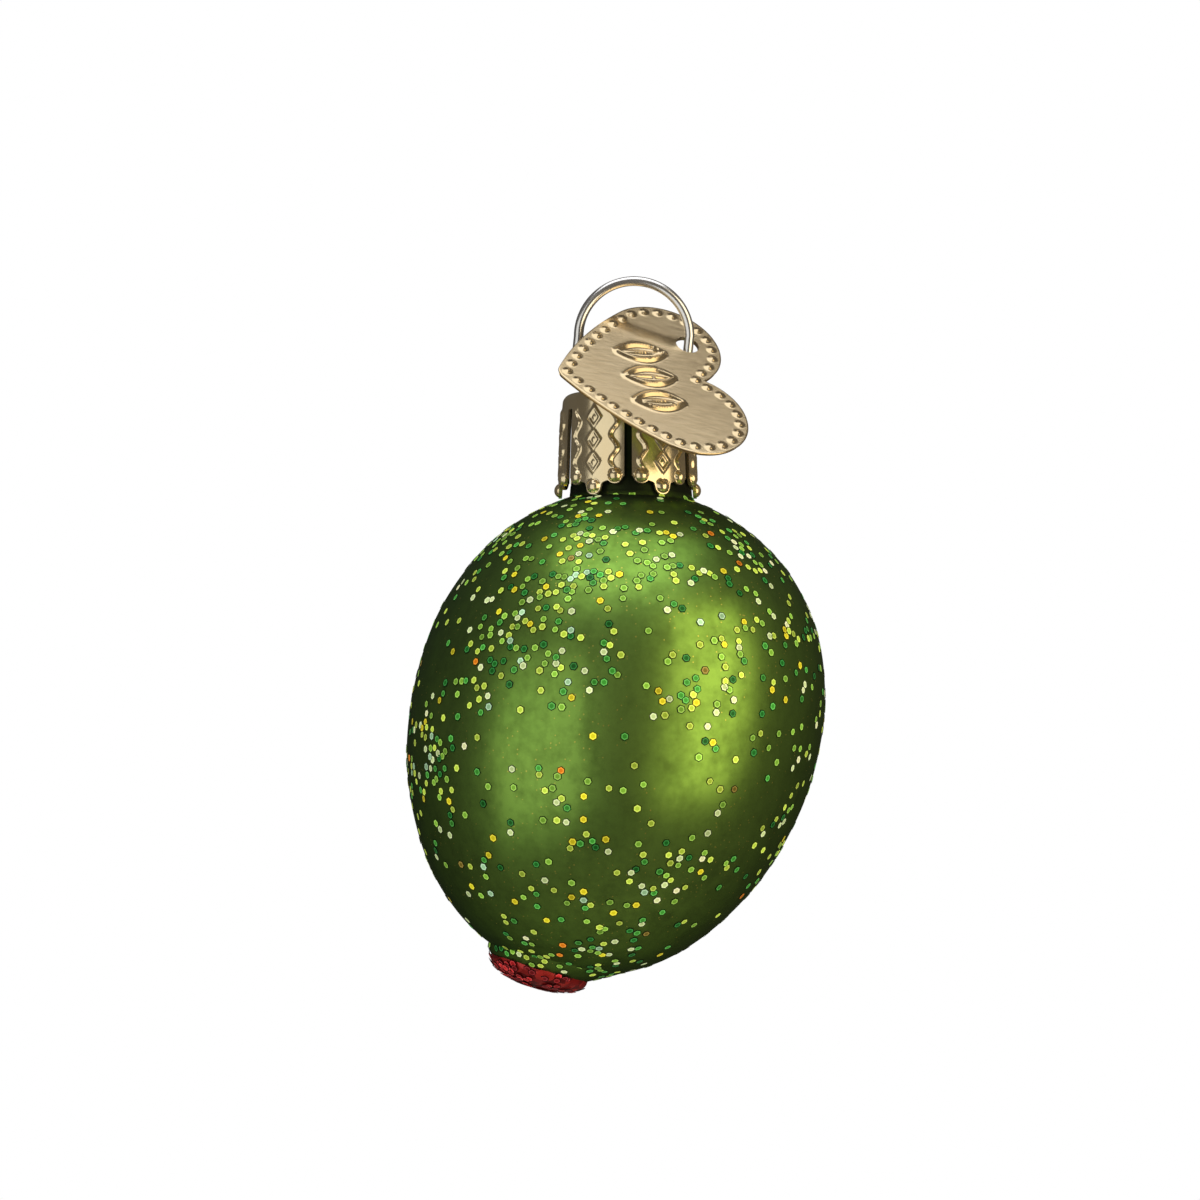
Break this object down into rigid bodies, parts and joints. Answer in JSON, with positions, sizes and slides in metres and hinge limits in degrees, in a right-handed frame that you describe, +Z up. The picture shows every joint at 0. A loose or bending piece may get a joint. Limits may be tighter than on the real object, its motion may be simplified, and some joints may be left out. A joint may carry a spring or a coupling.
{
  "type": "glass olive ornament",
  "caption": "Hanging blown-glass ornament in the shape of a green olive with a red pimento end, under a stamped crown cap with a wire loop and a loose beaded heart tag.",
  "frame": {"origin": "the hang point: the inner top of the wire loop, on the axis of the cap and the glass neck", "axes": "+Z up, away from the olive; +X towards the side of the loop that carries the tag; the picture looks along +Y"},
  "size_m": [0.0383, 0.0374, 0.0663],
  "materials": {
    "wire": "bright drawn steel wire",
    "cap": "bright gold-coloured stamped sheet",
    "olive": "opaque satin green lacquer on blown glass, strewn with small glitter flakes",
    "silver": "silvered inside of the glass",
    "pimento": "glossy red coat with glitter",
    "tag": "rolled sheet with fine lines and a stamped bead border"
  },
  "bodies": {
    "hanger": {"hanger_wire": "wire"},
    "cap": {"crown_cap": "cap"},
    "olive": {"olive_shell": "olive", "silver_lining": "silver", "pimento_coat": "pimento"},
    "tag": {"heart_tag": "tag"}
  },
  "joints": [
    {"name": "cap_slide", "type": "slide", "parent": "hanger", "child": "cap", "axis": [0, 0, 1], "range_m": [-0.012, 0]},
    {"name": "olive_turn", "type": "hinge", "parent": "cap", "child": "olive", "pos_m": [0, 0, -0.014], "axis": [0, 0, 1], "continuous": true},
    {"name": "tag_swing", "type": "hinge", "parent": "hanger", "child": "tag", "pos_m": [0.0051, 0, -0.0056], "axis": [0, 0, 1], "range_deg": [0, 120]}
  ]
}
